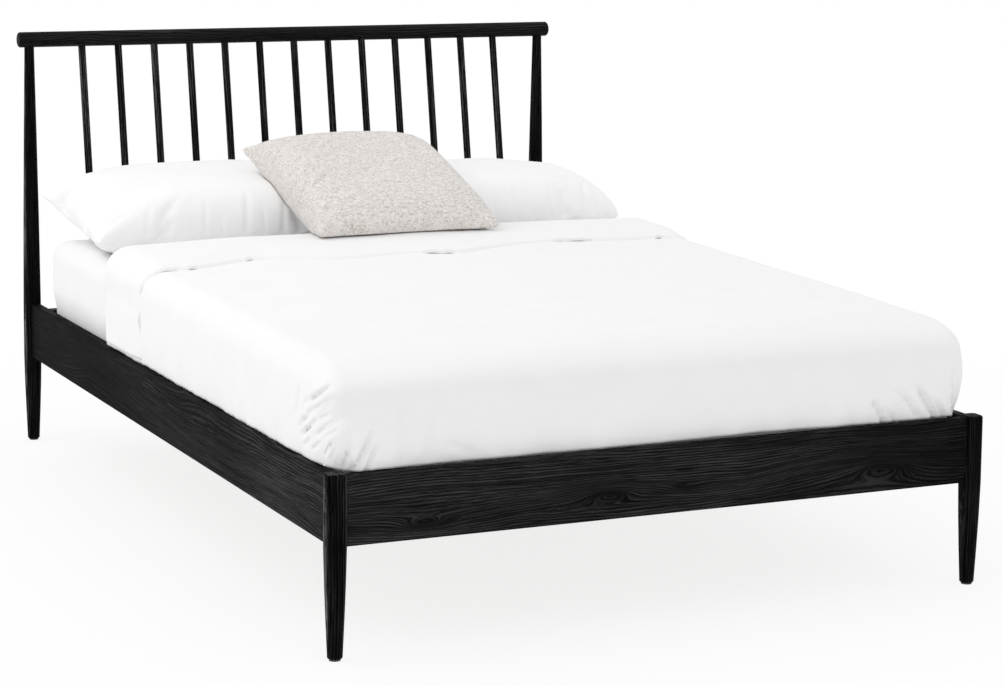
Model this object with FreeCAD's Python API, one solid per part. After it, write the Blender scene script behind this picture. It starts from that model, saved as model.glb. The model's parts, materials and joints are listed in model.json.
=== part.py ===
import FreeCAD, Part
import math
import os

Vector = FreeCAD.Vector

# A double bed in black-stained ash. Two tall tapered posts carry a round top rail, and a row of raked
# spindles runs from it to a low head rail that stands in front of the posts. Millimetres, +Z up, +Y to the
# head, +X to the right as seen from the foot. The origin is on the floor under the middle of the bed.

# ---- driving dimensions ------------------------------------------------------------------------------

# The mattress that the frame is made for
mattress_width = 1350.0
mattress_length = 1900.0
mattress_height = 238.0
mattress_corner_radius = 28.0
mattress_side_bulge = 9.0
mattress_head_bulge = 14.0
mattress_edge_roll = 40.0
mattress_side_curve = [(0.15, 0.45), (0.4, 0.85), (0.7, 1.0), (1.0, 0.9)]
roll_steps = 6
side_play = 6.0
foot_play = 22.0
head_play = 3.0

# Heights above the floor
rail_underside = 214.0
rail_depth = 134.0
leg_rise = 4.0
mattress_recess = 62.0
top_rail_height = 1005.0

# Legs and posts
leg_width = 39.0
leg_corner_radius = 11.0
foot_width = 29.0
leg_swell = 1.35
taper_steps = 3
post_top_diameter = 24.0
post_swell = 1.3
post_neck_length = 30.0
leg_top_bevel = 3.0
foot_bevel = 2.5
pad_thickness = 3.0
pad_inset = 3.5

# Rails round the mattress
rail_thickness = 22.0
rail_outset = 8.5
rail_edge_radius = 2.0
tenon_thickness = 12.0
tenon_height = 70.0
tenon_length = 10.0
tenon_top_shoulder = 16.0
head_rail_thickness = 32.0
head_tenon_length = 8.0

# Top rail and spindles
top_rail_diameter = 38.0
top_rail_overhang = 28.0
top_rail_end_radius = 6.0
spindle_count = 13
spindle_pitch = 93.6
spindle_rake = 10.0
spindle_diameter = 18.0
top_socket_depth = 14.0
bottom_socket_depth = 22.0

# Slatted base
slat_count = 12
slat_width = 78.0
slat_thickness = 18.0
slat_end_play = 2.0
slat_row_margin = 40.0
ledger_width = 25.0
ledger_height = 30.0
beam_width = 42.0
beam_height = 44.0
centre_leg_diameter = 40.0
centre_leg_foot_diameter = 30.0

# Metalwork
bracket_gauge = 2.5
bracket_height = 36.0
bracket_reach = 40.0
bracket_wing = 32.0
angle_wing = 42.0
angle_height = 70.0
hanger_length = 34.0
hanger_height = 30.0
bolt_diameter = 8.0
bolt_head_diameter = 13.0
bolt_head_height = 6.0
counterbore_diameter = 16.0
counterbore_depth = 8.0
bolt_key_diameter = 6.0
barrel_nut_diameter = 12.0
barrel_nut_length = 16.0
barrel_nut_setback = 26.0
hex_nut_width = 13.0
hex_nut_height = 6.5
screw_diameter = 4.0
screw_head_diameter = 8.0
screw_head_height = 2.4
screw_length = 17.0
ledger_screw_count = 5
ledger_screw_bite = 13.0
low_bolt_rise = 22.0
bracket_rise = 11.0
angle_rise = 30.0
hanger_ear = 16.0
hanger_bolt_start = 6.0
stud_length = 52.0
bracket_screw_rows = (0.25, 0.75)
angle_screw_rows = (0.2, 0.8)
angle_screw_reach = 0.65

# Bedding
duvet_reach = 1440.0
duvet_side_wall = 10.0
duvet_side_play = 3.0
duvet_side_bulge = 4.0
duvet_belly_height = 0.55
duvet_shoulder = 50.0
duvet_foot_wall = 14.0
duvet_foot_rise = 18.0
duvet_head_rise = 44.0
duvet_crown = 8.0
duvet_foot_curve = [(0.0, 58.0, 5.0), (14.0, 31.0, 2.0), (48.0, 8.0, 0.0), (110.0, 0.0, 0.0)]
duvet_body_shares = (0.4, 0.7, 1.0)
band_width = 225.0
band_rise = 16.0
band_curve = [(0.0, 0.15), (0.1, 0.75), (0.5, 1.0), (0.9, 0.75), (1.0, 0.15)]
pillow_length = 700.0
pillow_depth = 480.0
pillow_top_crown = 104.0
pillow_under_crown = 76.0
cushion_side = 470.0
cushion_crown = 72.0
side_draw = 14.0
seam_thickness = 5.0
crown_curve = [(1.0, 1.0, 0.0), (0.93, 0.4, 0.29), (0.8, -0.6, 0.6), (0.6, -1.2, 0.85),
               (0.38, -0.9, 0.97), (0.12, -0.2, 1.0)]

# Where the soft pieces lie: distance across, distance from the posts, height above the mattress, the
# tilt up towards the head and the turn on the bed, in degrees
cushion_place = (-14.0, 572.0, 151.0, 18.5, 1.5)
left_pillow_place = (-348.0, 327.0, 74.0, 7.0, -1.5)
right_pillow_place = (328.0, 372.0, 64.0, 3.0, 2.0)

# Clearances
fit = 0.2
rest_gap = 0.3
soft_gap = 1.0

# ---- places worked out from them ----------------------------------------------------------------------

rail_top = rail_underside + rail_depth
leg_top = rail_top + leg_rise
mattress_base = rail_top - mattress_recess
slat_bottom = mattress_base - slat_thickness
mattress_top = mattress_base + rest_gap + mattress_height

rake = math.radians(spindle_rake)
rake_pivot = rail_top - bottom_socket_depth / 2
rake_run = (top_rail_height - rake_pivot) * math.tan(rake)

rail_inset = rail_thickness - rail_outset
leg_x = mattress_width / 2 + side_play + rail_inset
rail_inner_x = leg_x - rail_inset
rail_centre_x = leg_x + rail_outset - rail_thickness / 2
leg_spacing = (rail_inset + foot_play + mattress_length + head_play
               + head_rail_thickness / 2 + rake_run)
foot_y = -leg_spacing / 2
head_y = leg_spacing / 2
foot_rail_inner_y = foot_y + rail_inset
foot_rail_centre_y = foot_y - rail_outset + rail_thickness / 2
head_rail_y = head_y - rake_run
head_rail_front_y = head_rail_y - head_rail_thickness / 2
mattress_foot_y = foot_rail_inner_y + foot_play
mattress_head_y = mattress_foot_y + mattress_length
duvet_foot_y = mattress_foot_y - soft_gap - duvet_foot_wall
duvet_head_y = foot_y + duvet_reach
duvet_half_width = mattress_width / 2 + mattress_side_bulge + duvet_side_play + duvet_side_wall
duvet_length = duvet_head_y - duvet_foot_y
duvet_slope = (duvet_head_rise - duvet_foot_rise) / duvet_length
duvet_band_top = mattress_top + duvet_head_rise - duvet_slope * band_width / 2 + band_rise + duvet_crown
top_rail_half_length = leg_x + top_rail_overhang
tenon_z = rail_top - tenon_top_shoulder - tenon_height / 2

low_bolt_z = rail_underside + low_bolt_rise
high_bolt_z = tenon_z
bracket_z = rail_underside + bracket_rise
angle_z = rail_underside + angle_rise

X_AXIS = Vector(1, 0, 0)
Y_AXIS = Vector(0, 1, 0)
Z_AXIS = Vector(0, 0, 1)
MIRROR_X = Vector(1, 0, 0)


# ---- shared shapes ------------------------------------------------------------------------------------

def block(x0, x1, y0, y1, z0, z1):
    """Box between two corners, given in any order along each axis."""
    low = Vector(min(x0, x1), min(y0, y1), min(z0, z1))
    return Part.makeBox(abs(x1 - x0), abs(y1 - y0), abs(z1 - z0), low)


def rod(diameter, start, end):
    """Round bar between two points."""
    run = end.sub(start)
    return Part.makeCylinder(diameter / 2, run.Length, start, run)


def screw_bar(diameter, start, end):
    """Slim eight-sided bar between two points, for the screws and their pilot holes."""
    run = end.sub(start)
    along = Vector(run).normalize()
    side = along.cross(Z_AXIS)
    corners = []
    for corner in range(9):
        angle = math.pi / 8 + math.pi / 4 * corner
        corners.append(start + side * (diameter / 2 * math.cos(angle)) + Z_AXIS * (diameter / 2 * math.sin(angle)))
    return Part.Face(Part.makePolygon(corners)).extrude(run)


def mirrored(shape):
    """The other-handed copy, across the middle of the bed."""
    return shape.mirror(Vector(0, 0, 0), MIRROR_X)


def clean(shape):
    """One solid with its split faces joined."""
    return shape.removeSplitter()


def rounded_outline(half_x, half_y, radius, z, cx=0.0, cy=0.0):
    """Closed rectangle with round corners in a level plane."""
    radius = min(radius, half_x - 0.1, half_y - 0.1)
    edges = []
    for turn in range(4):
        start = math.pi / 2 * turn
        sx = 1 if turn in (0, 3) else -1
        sy = 1 if turn in (0, 1) else -1
        corner = Vector(cx + sx * (half_x - radius), cy + sy * (half_y - radius), z)
        points = []
        for step in (0.0, 0.5, 1.0):
            angle = start + step * math.pi / 2
            points.append(corner + Vector(radius * math.cos(angle), radius * math.sin(angle), 0))
        edges.append(points)
    wire = []
    for turn in range(4):
        first, middle, last = edges[turn]
        wire.append(Part.Arc(first, middle, last).toShape())
        wire.append(Part.LineSegment(last, edges[(turn + 1) % 4][0]).toShape())
    return Part.Wire(wire)


def eased_board(x0, x1, y0, y1, z0, z1, along):
    """Board with its long edges rounded over; along is the axis of its length."""
    board = block(x0, x1, y0, y1, z0, z1)
    long_edges = [edge for edge in board.Edges if abs(edge.tangentAt(edge.FirstParameter).dot(along)) > 0.99]
    return board.makeFillet(rail_edge_radius, long_edges)


# ---- legs and posts -----------------------------------------------------------------------------------

def leg_section(width, radius, z, y):
    return rounded_outline(width / 2, width / 2, radius, z, leg_x, y)


def tapered_foot(y):
    """Lower leg: round at the floor, swelling to the square section under the rails."""
    top, bottom = rail_underside, pad_thickness + foot_bevel
    sections = []
    for step in range(taper_steps + 1):
        share = step / taper_steps
        grown = 1 - (1 - share) ** leg_swell
        width = foot_width + (leg_width - foot_width) * grown
        radius = foot_width / 2 + (leg_corner_radius - foot_width / 2) * grown
        sections.append(leg_section(width, radius, bottom + (top - bottom) * share, y))
    taper = Part.makeLoft(sections, True, True)
    end_width = foot_width - 2 * foot_bevel
    bevel = Part.makeLoft([leg_section(end_width, end_width / 2, pad_thickness, y),
                           leg_section(foot_width, foot_width / 2, bottom, y)], True, True)
    return taper.fuse(bevel)


def mortise(centre, along):
    """Blind slot for a rail's tenon, entered from the leg's face along the given direction."""
    half = tenon_thickness / 2 + fit
    depth = tenon_length + 2 * fit
    face = leg_width / 2
    z0, z1 = tenon_z - tenon_height / 2 - fit, tenon_z + tenon_height / 2 + fit
    if abs(along.y) > 0.5:
        x = rail_centre_x
        y_face = centre.y + along.y * face
        return block(x - half, x + half, y_face, y_face - along.y * depth, z0, z1)
    y = foot_rail_centre_y
    x_face = centre.x + along.x * face
    return block(x_face, x_face - along.x * depth, y - half, y + half, z0, z1)


def foot_leg():
    """Right foot leg: tapered foot, square head with a bevelled top, and two mortises."""
    square = Part.makeLoft([leg_section(leg_width, leg_corner_radius, rail_underside, foot_y),
                            leg_section(leg_width, leg_corner_radius, leg_top - leg_top_bevel, foot_y)],
                           True, True)
    cap = Part.makeLoft([leg_section(leg_width, leg_corner_radius, leg_top - leg_top_bevel, foot_y),
                         leg_section(leg_width - 2 * leg_top_bevel, leg_corner_radius - leg_top_bevel,
                                     leg_top, foot_y)], True, True)
    leg = tapered_foot(foot_y).fuse([square, cap])
    centre = Vector(leg_x, foot_y, 0)
    leg = leg.cut([mortise(centre, Y_AXIS), mortise(centre, X_AXIS.negative()), hanger_bolt_bore()])
    return clean(leg)


def head_post():
    """Right head post: a leg below the rails, then one long taper up into the round top rail."""
    square = Part.makeLoft([leg_section(leg_width, leg_corner_radius, rail_underside, head_y),
                            leg_section(leg_width, leg_corner_radius, rail_top, head_y)], True, True)
    neck = top_rail_height - top_rail_diameter / 2 - post_neck_length / 2
    sections = []
    for step in range(taper_steps + 1):
        share = step / taper_steps
        kept = 1 - share ** post_swell
        width = post_top_diameter + (leg_width - post_top_diameter) * kept
        radius = post_top_diameter / 2 + (leg_corner_radius - post_top_diameter / 2) * kept
        sections.append(leg_section(width, radius, rail_top + (neck - rail_top) * share, head_y))
    taper = Part.makeLoft(sections, True, True)
    tenon = rod(post_top_diameter, Vector(leg_x, head_y, neck), Vector(leg_x, head_y, post_tenon_top()))
    post = tapered_foot(head_y).fuse([square, taper, tenon])
    post = post.cut([mortise(Vector(leg_x, head_y, 0), Y_AXIS.negative())] + head_bolt_bores())
    return clean(post)


def post_tenon_top():
    return top_rail_height - top_rail_diameter / 2 + top_socket_depth


# ---- rails --------------------------------------------------------------------------------------------

def side_rail():
    """Right side rail: tenoned into the foot leg and the head post, bored for the bed bolts."""
    y0, y1 = foot_y + leg_width / 2, head_y - leg_width / 2
    x0, x1 = rail_inner_x, rail_inner_x + rail_thickness
    rail = eased_board(x0, x1, y0, y1, rail_underside, rail_top, Y_AXIS)
    half = tenon_thickness / 2
    tenon = block(rail_centre_x - half, rail_centre_x + half, y0 - tenon_length, y1 + tenon_length,
                  tenon_z - tenon_height / 2, tenon_z + tenon_height / 2)
    rail = rail.fuse(tenon)
    head_slot = block(rail_inner_x, rail_inner_x + head_tenon_length + fit,
                      head_rail_y - tenon_thickness / 2 - fit, head_rail_y + tenon_thickness / 2 + fit,
                      tenon_z - tenon_height / 2 - fit, tenon_z + tenon_height / 2 + fit)
    rail = rail.cut([head_slot] + head_bolt_bores() + barrel_nut_bores() + right_screw_bores())
    return clean(rail)


def foot_rail():
    """Foot rail between the two foot legs."""
    half_length = leg_x - leg_width / 2
    y0 = foot_y - rail_outset
    rail = eased_board(-half_length, half_length, y0, y0 + rail_thickness, rail_underside, rail_top, X_AXIS)
    half = tenon_thickness / 2
    tenon = block(-half_length - tenon_length, half_length + tenon_length,
                  foot_rail_centre_y - half, foot_rail_centre_y + half,
                  tenon_z - tenon_height / 2, tenon_z + tenon_height / 2)
    bores = right_screw_bores() + [mirrored(bore) for bore in right_screw_bores()] + hanger_screw_bores()
    return clean(rail.fuse(tenon).cut(bores))


def head_rail():
    """Low rail under the spindles, tenoned between the side rails and socketed along its top edge."""
    half_length = rail_inner_x
    y0, y1 = head_rail_front_y, head_rail_front_y + head_rail_thickness
    rail = eased_board(-half_length, half_length, y0, y1, rail_underside, rail_top, X_AXIS)
    half = tenon_thickness / 2
    tenon = block(-half_length - head_tenon_length, half_length + head_tenon_length,
                  head_rail_y - half, head_rail_y + half,
                  tenon_z - tenon_height / 2, tenon_z + tenon_height / 2)
    bores = right_screw_bores() + [mirrored(bore) for bore in right_screw_bores()] + hanger_screw_bores()
    sockets = [spindle_form(x, fit) for x in spindle_places()]
    return clean(rail.fuse(tenon).cut(bores + sockets))


def top_rail():
    """Round top rail with softened ends, socketed below for the posts and the spindles."""
    rail = rod(top_rail_diameter, Vector(-top_rail_half_length, head_y, top_rail_height),
               Vector(top_rail_half_length, head_y, top_rail_height))
    ends = [edge for edge in rail.Edges if edge.Curve.TypeId == "Part::GeomCircle"]
    rail = rail.makeFillet(top_rail_end_radius, ends)
    sockets = [spindle_form(x, fit) for x in spindle_places()]
    for side in (-1, 1):
        foot = Vector(side * leg_x, head_y, top_rail_height - top_rail_diameter)
        floor = Vector(side * leg_x, head_y, post_tenon_top() + fit)
        sockets.append(rod(post_top_diameter + 2 * fit, foot, floor))
    return clean(rail.cut(sockets))


# ---- spindles -----------------------------------------------------------------------------------------

def spindle_places():
    """Centres of the spindles across the bed."""
    first = -spindle_pitch * (spindle_count - 1) / 2
    return [first + spindle_pitch * place for place in range(spindle_count)]


def spindle_form(x, grow):
    """Raked round spindle, grown all round for its sockets."""
    down = Vector(0, -math.sin(rake), -math.cos(rake))
    start = top_rail_diameter / 2 - top_socket_depth - grow
    end = (top_rail_height - rail_top + bottom_socket_depth) / math.cos(rake) + grow
    top = Vector(x, head_y, top_rail_height) + down * start
    return Part.makeCylinder(spindle_diameter / 2 + grow, end - start, top, down)


# ---- slatted base -------------------------------------------------------------------------------------

def ledger_start():
    """Distance from the foot where the ledgers begin, clear of the corner brackets."""
    return foot_rail_inner_y + bracket_reach + bracket_wing + soft_gap


def slat_ledger():
    """Right ledger: the batten that the slats rest on, screwed to the side rail."""
    batten = block(rail_inner_x - ledger_width, rail_inner_x, ledger_start(), head_rail_front_y,
                   slat_bottom - ledger_height, slat_bottom)
    return batten.cut(ledger_screw_bores())


def slat_places():
    """Centres of the slats along the bed."""
    first = ledger_start() + slat_width / 2
    last = head_rail_front_y - slat_row_margin - slat_width / 2
    step = (last - first) / (slat_count - 1)
    return [first + step * place for place in range(slat_count)]


def slat(y):
    half = rail_inner_x - slat_end_play
    return block(-half, half, y - slat_width / 2, y + slat_width / 2, slat_bottom, mattress_base)


def centre_beam():
    """Beam under the middle of the slats, from the foot rail to the head rail."""
    beam = block(-beam_width / 2, beam_width / 2, foot_rail_inner_y + bracket_gauge,
                 head_rail_front_y - bracket_gauge, slat_bottom - beam_height, slat_bottom)
    return beam.cut(centre_stud(fit))


def beam_hanger(inner_face_y, towards):
    """Steel stirrup that holds one end of the beam; towards is +1 or -1 along the bed."""
    half = beam_width / 2 + fit
    outer = half + bracket_gauge
    base = slat_bottom - beam_height
    tip = inner_face_y + towards * hanger_length
    back = inner_face_y + towards * bracket_gauge
    stirrup = block(-outer, outer, inner_face_y, tip, base - bracket_gauge, base + hanger_height)
    stirrup = stirrup.cut(block(-half, half, back, tip, base, base + hanger_height))
    ears = block(-outer - hanger_ear, outer + hanger_ear, inner_face_y, back,
                 base - bracket_gauge, base + hanger_height)
    return clean(stirrup.fuse(ears).cut(hanger_screw_bores()))


def centre_leg():
    """Turned leg under the middle of the beam, on its own pad."""
    base = slat_bottom - beam_height
    y = centre_leg_y()
    leg = Part.makeCone(centre_leg_foot_diameter / 2, centre_leg_diameter / 2, base - pad_thickness,
                        Vector(0, y, pad_thickness), Z_AXIS)
    return leg.cut(centre_stud(fit))


def centre_leg_y():
    return (foot_rail_inner_y + head_rail_front_y) / 2 + slat_width / 2


def centre_stud(grow):
    """Threaded stud that joins the centre leg to the beam."""
    base = slat_bottom - beam_height
    half = stud_length / 2
    y = centre_leg_y()
    return rod(bolt_diameter + 2 * grow, Vector(0, y, base - half - grow), Vector(0, y, base + half + grow))


def foot_pads():
    """Felt pads under the four legs and the centre leg."""
    leg_pad = foot_width - 2 * pad_inset
    pads = [rod(leg_pad, Vector(x, y, 0), Vector(x, y, pad_thickness))
            for x in (-leg_x, leg_x) for y in (foot_y, head_y)]
    y = centre_leg_y()
    pads.append(rod(centre_leg_foot_diameter, Vector(0, y, 0), Vector(0, y, pad_thickness)))
    return Part.makeCompound(pads)


# ---- metalwork ----------------------------------------------------------------------------------------

def diagonal_point(distance, z):
    """Point on the line from the right foot leg's centre towards the middle of the bed at 45 degrees."""
    step = distance / math.sqrt(2)
    return Vector(leg_x - step, foot_y + step, z)


def corner_bracket():
    """Right corner bracket: a folded plate across the corner, screwed to both rails."""
    gauge = bracket_gauge
    bend = gauge * (math.sqrt(2) - 1)
    near, far = bracket_reach, bracket_reach + bracket_wing
    plan = [(0, far), (0, near), (near, 0), (far, 0),
            (far, gauge), (near + bend, gauge), (gauge, near + bend), (gauge, far)]
    points = [Vector(rail_inner_x - across, foot_rail_inner_y + along, bracket_z) for across, along in plan]
    plate = Part.Face(Part.makePolygon(points + points[:1])).extrude(Vector(0, 0, bracket_height))
    return clean(plate.cut([hanger_bolt_bore()] + right_screw_bores()))


def bracket_plate_distance():
    """From the leg's centre, along the diagonal, to the bracket's plate."""
    return (2 * rail_inset + bracket_reach) / math.sqrt(2)


def hanger_bolt(grow):
    """Hanger bolt from the foot leg through the corner bracket."""
    z = bracket_z + bracket_height / 2
    start = hanger_bolt_start - grow
    end = bracket_plate_distance() + bracket_gauge + hex_nut_height + screw_head_height + grow
    return rod(bolt_diameter + 2 * grow, diagonal_point(start, z), diagonal_point(end, z))


def hanger_bolt_bore():
    return hanger_bolt(fit)


def hex_nut():
    """Nut that pulls the foot leg into the corner."""
    z = bracket_z + bracket_height / 2
    start = bracket_plate_distance() + bracket_gauge
    along = Vector(-1, 1, 0)
    across = Vector(1, 1, 0).normalize()
    centre = diagonal_point(start, z)
    reach = hex_nut_width / math.sqrt(3)
    corners = []
    for side in range(7):
        angle = math.pi / 3 * side
        corners.append(centre + across * (reach * math.cos(angle)) + Z_AXIS * (reach * math.sin(angle)))
    nut = Part.Face(Part.makePolygon(corners)).extrude(along.normalize() * hex_nut_height)
    return nut.cut(hanger_bolt_bore())


def head_bolt_heights():
    return (low_bolt_z, high_bolt_z)


def head_bolt_run():
    """Start and end of a bed bolt's shank along the bed."""
    start = head_y + leg_width / 2 - counterbore_depth
    end = head_y - leg_width / 2 - barrel_nut_setback - barrel_nut_diameter
    return start, end


def head_bolt(z):
    """Bed bolt through the right post: cap head with a keyed recess, and its shank."""
    start, end = head_bolt_run()
    x = rail_centre_x
    shank = rod(bolt_diameter, Vector(x, start, z), Vector(x, end, z))
    head = rod(bolt_head_diameter, Vector(x, start, z), Vector(x, start + bolt_head_height, z))
    key = rod(bolt_key_diameter, Vector(x, start + bolt_head_height / 2, z),
              Vector(x, start + bolt_head_height, z))
    return clean(shank.fuse(head)).cut(key)


def head_bolt_bores():
    """Clearance bores and counterbores for the right post's two bed bolts."""
    start, end = head_bolt_run()
    x = rail_centre_x
    bores = []
    for z in head_bolt_heights():
        bores.append(rod(bolt_diameter + 2 * fit, Vector(x, start, z), Vector(x, end - fit, z)))
        mouth = Vector(x, start + 2 * counterbore_depth, z)
        bores.append(rod(counterbore_diameter, Vector(x, start, z), mouth))
    return bores


def barrel_nut_y():
    return head_y - leg_width / 2 - barrel_nut_setback


def barrel_nut(z):
    """Cross dowel in the right side rail that takes a bed bolt."""
    start = Vector(rail_inner_x, barrel_nut_y(), z)
    nut = rod(barrel_nut_diameter, start, start + X_AXIS * barrel_nut_length)
    shank_start, shank_end = head_bolt_run()
    return nut.cut(rod(bolt_diameter + 2 * fit, Vector(rail_centre_x, shank_start, z),
                       Vector(rail_centre_x, shank_end - fit, z)))


def barrel_nut_bores():
    bores = []
    for z in head_bolt_heights():
        start = Vector(rail_inner_x, barrel_nut_y(), z)
        bores.append(rod(barrel_nut_diameter + 2 * fit, start, start + X_AXIS * (barrel_nut_length + fit)))
    return bores


def head_angle():
    """Right steel angle behind the head rail, screwed to it and to the side rail."""
    y0 = head_rail_front_y + head_rail_thickness
    x0 = rail_inner_x
    side_wing = block(x0 - bracket_gauge, x0, y0, y0 + angle_wing, angle_z, angle_z + angle_height)
    rail_wing = block(x0 - angle_wing, x0, y0, y0 + bracket_gauge, angle_z, angle_z + angle_height)
    return clean(side_wing.fuse(rail_wing).cut(right_screw_bores()))


def screw_places():
    """Screws on the right half: the point on the plate's face and the direction it drives in."""
    places = []
    wing = bracket_reach + bracket_wing / 2
    for z in [bracket_z + bracket_height * row for row in bracket_screw_rows]:
        places.append((Vector(rail_inner_x - bracket_gauge, foot_rail_inner_y + wing, z), X_AXIS))
        places.append((Vector(rail_inner_x - wing, foot_rail_inner_y + bracket_gauge, z),
                       Y_AXIS.negative()))
    back_y = head_rail_front_y + head_rail_thickness
    reach = angle_wing * angle_screw_reach
    for z in [angle_z + angle_height * row for row in angle_screw_rows]:
        places.append((Vector(rail_inner_x - bracket_gauge, back_y + reach, z), X_AXIS))
        places.append((Vector(rail_inner_x - reach, back_y + bracket_gauge, z), Y_AXIS.negative()))
    return places


def ledger_screw_places():
    """Screws through the right ledger into the side rail."""
    z = slat_bottom - ledger_height / 2
    start, end = ledger_start(), head_rail_front_y
    step = (end - start) / ledger_screw_count
    return [(Vector(rail_inner_x - ledger_width, start + step * (place + 0.5), z), X_AXIS)
            for place in range(ledger_screw_count)]


def hanger_screw_places():
    """Screws that hold the two beam hangers."""
    reach = beam_width / 2 + fit + bracket_gauge + hanger_ear / 2
    z = slat_bottom - beam_height + hanger_height / 2
    places = []
    for x in (-reach, reach):
        places.append((Vector(x, foot_rail_inner_y + bracket_gauge, z), Y_AXIS.negative()))
        places.append((Vector(x, head_rail_front_y - bracket_gauge, z), Y_AXIS))
    return places


def screw(place, drive, length):
    """Pan-head screw standing on a face."""
    head = screw_bar(screw_head_diameter, place - drive * screw_head_height, place)
    return clean(head.fuse(screw_bar(screw_diameter, place, place + drive * length)))


def screw_bore(place, drive, length):
    return screw_bar(screw_diameter + 2 * fit, place, place + drive * (length + fit))


def right_screw_bores():
    bores = [screw_bore(place, drive, screw_length) for place, drive in screw_places()]
    return bores + ledger_screw_bores()


def ledger_screw_bores():
    length = ledger_width + ledger_screw_bite
    return [screw_bore(place, drive, length) for place, drive in ledger_screw_places()]


def hanger_screw_bores():
    return [screw_bore(place, drive, screw_length) for place, drive in hanger_screw_places()]


def bracket_screws():
    """All the short screws of the brackets, angles and hangers."""
    right = [screw(place, drive, screw_length) for place, drive in screw_places()]
    middle = [screw(place, drive, screw_length) for place, drive in hanger_screw_places()]
    return Part.makeCompound(right + [mirrored(one) for one in right] + middle)


def ledger_screws():
    length = ledger_width + ledger_screw_bite
    right = [screw(place, drive, length) for place, drive in ledger_screw_places()]
    return Part.makeCompound(right + [mirrored(one) for one in right])


# ---- bedding ------------------------------------------------------------------------------------------

def mattress():
    """Mattress with square sides between the rails, a slight bulge above them and rolled top edges."""
    base = mattress_base + rest_gap
    lower = Part.makeLoft([mattress_outline(0, 0, base), mattress_outline(0, 0, rail_top)], True, True)
    side = [(0.0, rail_top, 0.0)]
    for share, bulge in mattress_side_curve:
        z = rail_top + (mattress_top - mattress_edge_roll - rail_top) * share
        side.append((mattress_side_bulge * bulge, z, bulge))
    upper = Part.makeLoft([mattress_outline(grow, min(grow, 0), z, head * mattress_head_bulge)
                           for grow, z, head in side + mattress_roll_levels()], True, True)
    return clean(lower.fuse(upper))


def mattress_outline(side_grow, foot_grow, z, head_bulge=0.0):
    """Level outline of the mattress, grown at its sides and foot, and bulged at its head."""
    y0 = mattress_foot_y - foot_grow
    y1 = mattress_head_y + min(side_grow, 0) + head_bulge
    return rounded_outline(mattress_width / 2 + side_grow, (y1 - y0) / 2, mattress_corner_radius, z,
                           0, (y0 + y1) / 2)


def mattress_roll_levels():
    """Outline growth, height and share of the head's bulge up round the rolled top edge."""
    levels = []
    for step in range(1, roll_steps + 1):
        angle = math.pi / 2 * step / roll_steps
        bulge = mattress_side_bulge * mattress_side_curve[-1][1]
        grow = bulge * math.cos(angle) - mattress_edge_roll * (1 - math.cos(angle))
        rise = mattress_edge_roll * (1 - math.sin(angle))
        levels.append((grow, mattress_top - rise, math.cos(angle)))
    return levels


def duvet_space():
    """What the mattress takes up under the duvet, straight-sided so that the duvet lifts off it."""
    wide = mattress_side_bulge + duvet_side_play
    levels = [(wide, soft_gap, mattress_base), (wide, soft_gap, mattress_top - mattress_edge_roll)]
    for grow, z, _ in mattress_roll_levels():
        levels.append((grow + duvet_side_play, min(grow, 0) + soft_gap, z + rest_gap))
    return Part.makeLoft([mattress_outline(side, foot, z) for side, foot, z in levels], True, True)


def duvet_station(y, top, side):
    """Cross-section of the duvet: sides that belly out over the rails, round shoulders and a low crown."""
    hem = rail_top + rest_gap
    shoulder_z = top - duvet_shoulder
    side_z = hem + (shoulder_z - hem) * duvet_belly_height
    belly = side + duvet_side_bulge
    diagonal = duvet_shoulder * (1 - math.cos(math.pi / 4))
    edge = side - duvet_shoulder

    def at(x, z):
        return Vector(x, y, z)

    return Part.Wire([
        Part.LineSegment(at(-side, hem), at(side, hem)).toShape(),
        Part.Arc(at(side, hem), at(belly, side_z), at(side, shoulder_z)).toShape(),
        Part.Arc(at(side, shoulder_z), at(side - diagonal, top - diagonal), at(edge, top)).toShape(),
        Part.Arc(at(edge, top), at(0, top + duvet_crown), at(-edge, top)).toShape(),
        Part.Arc(at(-edge, top), at(diagonal - side, top - diagonal), at(-side, shoulder_z)).toShape(),
        Part.Arc(at(-side, shoulder_z), at(-belly, side_z), at(-side, hem)).toShape()])


def duvet():
    """Duvet laid over the mattress: open below, closed at the foot, with its top turned back in a band."""
    low = mattress_top + duvet_foot_rise
    stations = [duvet_station(duvet_foot_y + run, low - drop, duvet_half_width - inset)
                for run, drop, inset in duvet_foot_curve]
    for share in duvet_body_shares:
        run = duvet_length * share
        stations.append(duvet_station(duvet_foot_y + run, low + duvet_slope * run, duvet_half_width))
    body = Part.makeLoft(stations, True, True)

    stations = []
    for share, swell in band_curve:
        run = duvet_length - band_width * (1 - share)
        top = low + duvet_slope * run + band_rise * swell
        stations.append(duvet_station(duvet_foot_y + run, top, duvet_half_width + duvet_side_bulge * swell))
    band = Part.makeLoft(stations, True, True)
    return clean(body.fuse(band).cut(duvet_space()))


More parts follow.
